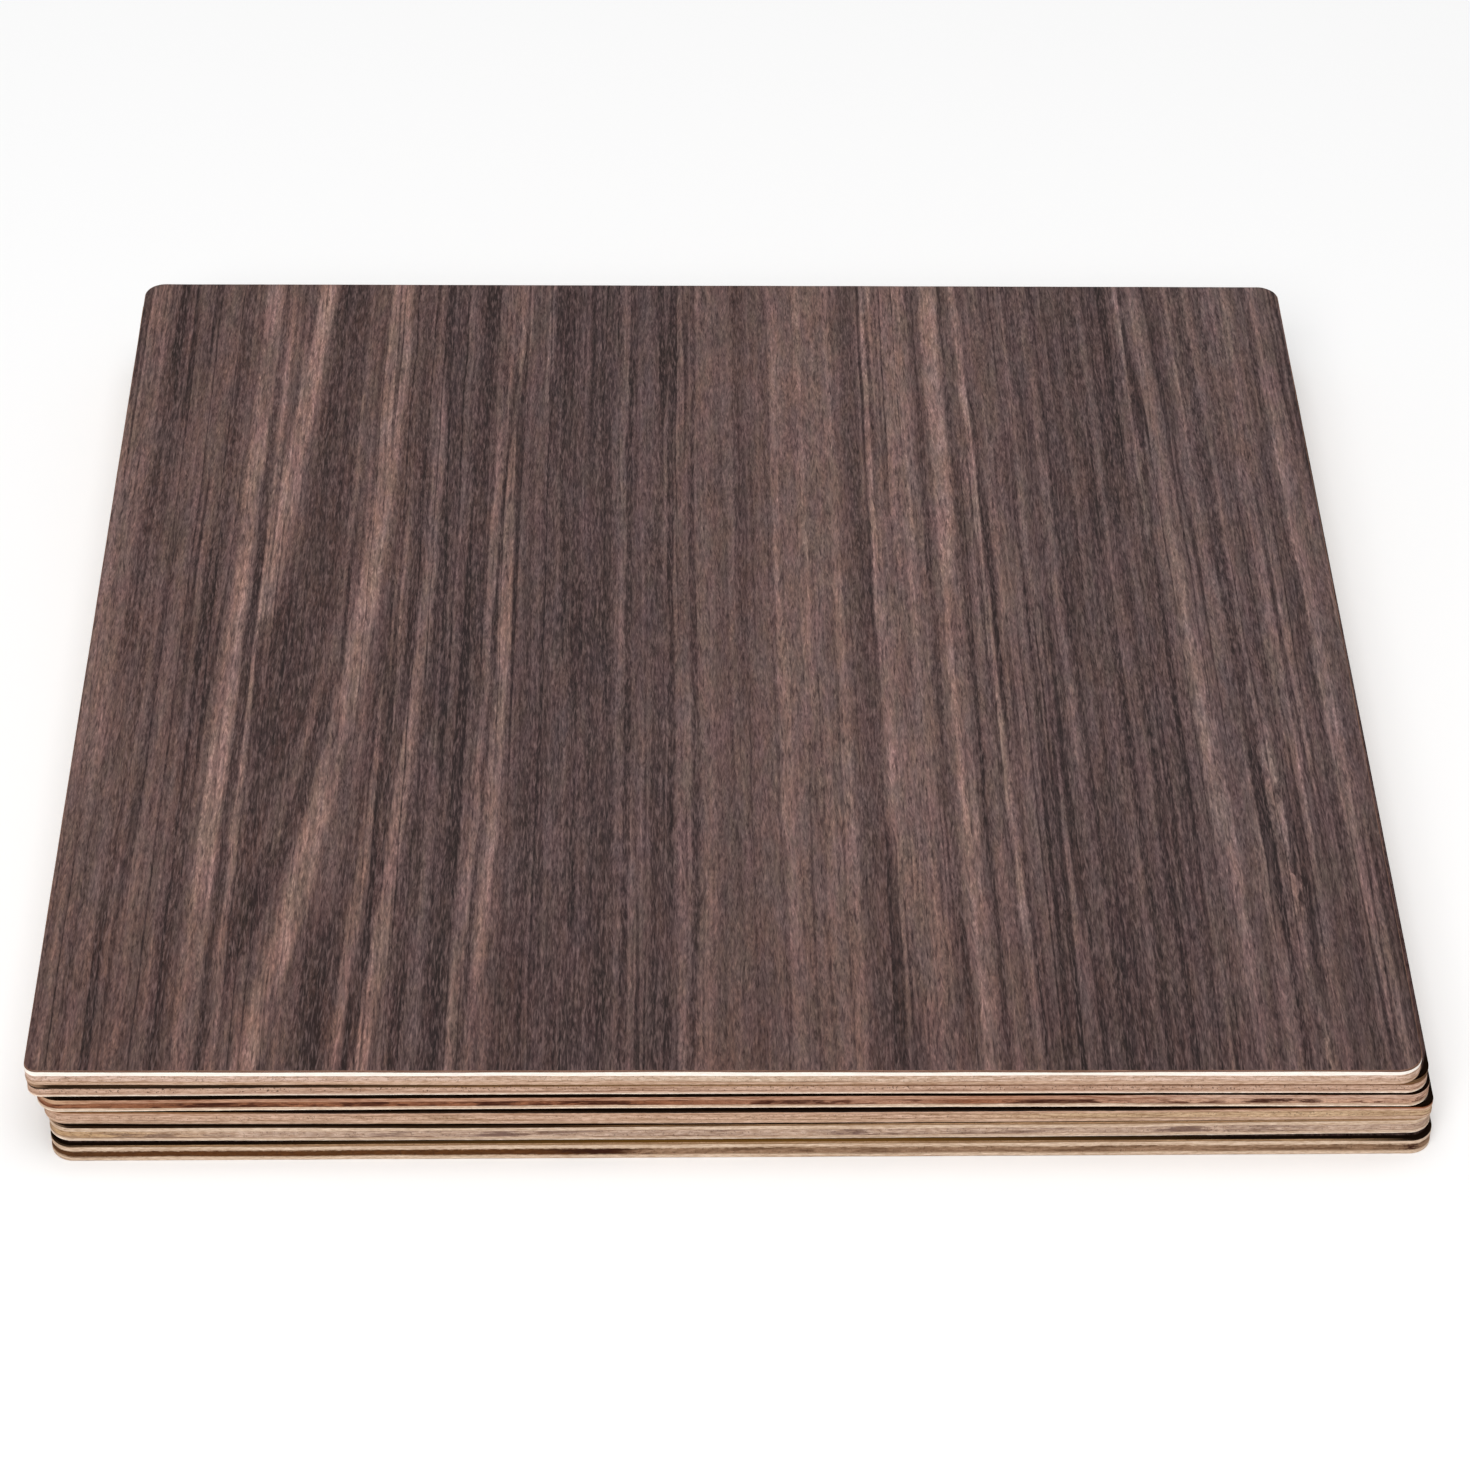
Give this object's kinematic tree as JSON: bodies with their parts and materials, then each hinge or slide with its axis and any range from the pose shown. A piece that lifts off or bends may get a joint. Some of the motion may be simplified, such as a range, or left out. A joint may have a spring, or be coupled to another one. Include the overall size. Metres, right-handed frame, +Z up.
{
  "type": "stack of plywood sheets",
  "caption": "Stack of thin square walnut-faced plywood craft sheets with rounded corners, lying flat and slightly out of line, with light and dark plies showing on the edges.",
  "frame": {"origin": "on the underside of the lowest sheet, at the middle of the stack, on the floor", "axes": "+Z up through the stack, X across the grain of the face veneers, Y along the grain, -Y towards the viewer of the picture"},
  "size_m": [0.2036, 0.2019, 0.0176],
  "materials": {
    "light_ply": "sawn edge, light ply",
    "core_ply": "sawn edge, streaky core ply",
    "walnut_veneer": "sanded walnut veneer with straight grain, unfinished"
  },
  "bodies": {
    "root": {"sheet_1_back_ply": "light_ply", "sheet_1_core_ply": "core_ply", "sheet_1_face_ply": "light_ply", "sheet_1_walnut_veneer": "walnut_veneer", "sheet_2_back_ply": "light_ply", "sheet_2_core_ply": "core_ply", "sheet_2_face_ply": "light_ply", "sheet_2_walnut_veneer": "walnut_veneer", "sheet_3_back_ply": "light_ply", "sheet_3_core_ply": "core_ply", "sheet_3_face_ply": "light_ply", "sheet_3_walnut_veneer": "walnut_veneer", "sheet_4_back_ply": "light_ply", "sheet_4_core_ply": "core_ply", "sheet_4_face_ply": "light_ply", "sheet_4_walnut_veneer": "walnut_veneer", "sheet_5_back_ply": "light_ply", "sheet_5_core_ply": "core_ply", "sheet_5_face_ply": "light_ply", "sheet_5_walnut_veneer": "walnut_veneer", "sheet_6_back_ply": "light_ply", "sheet_6_core_ply": "core_ply", "sheet_6_face_ply": "light_ply", "sheet_6_walnut_veneer": "walnut_veneer"}
  },
  "joints": []
}
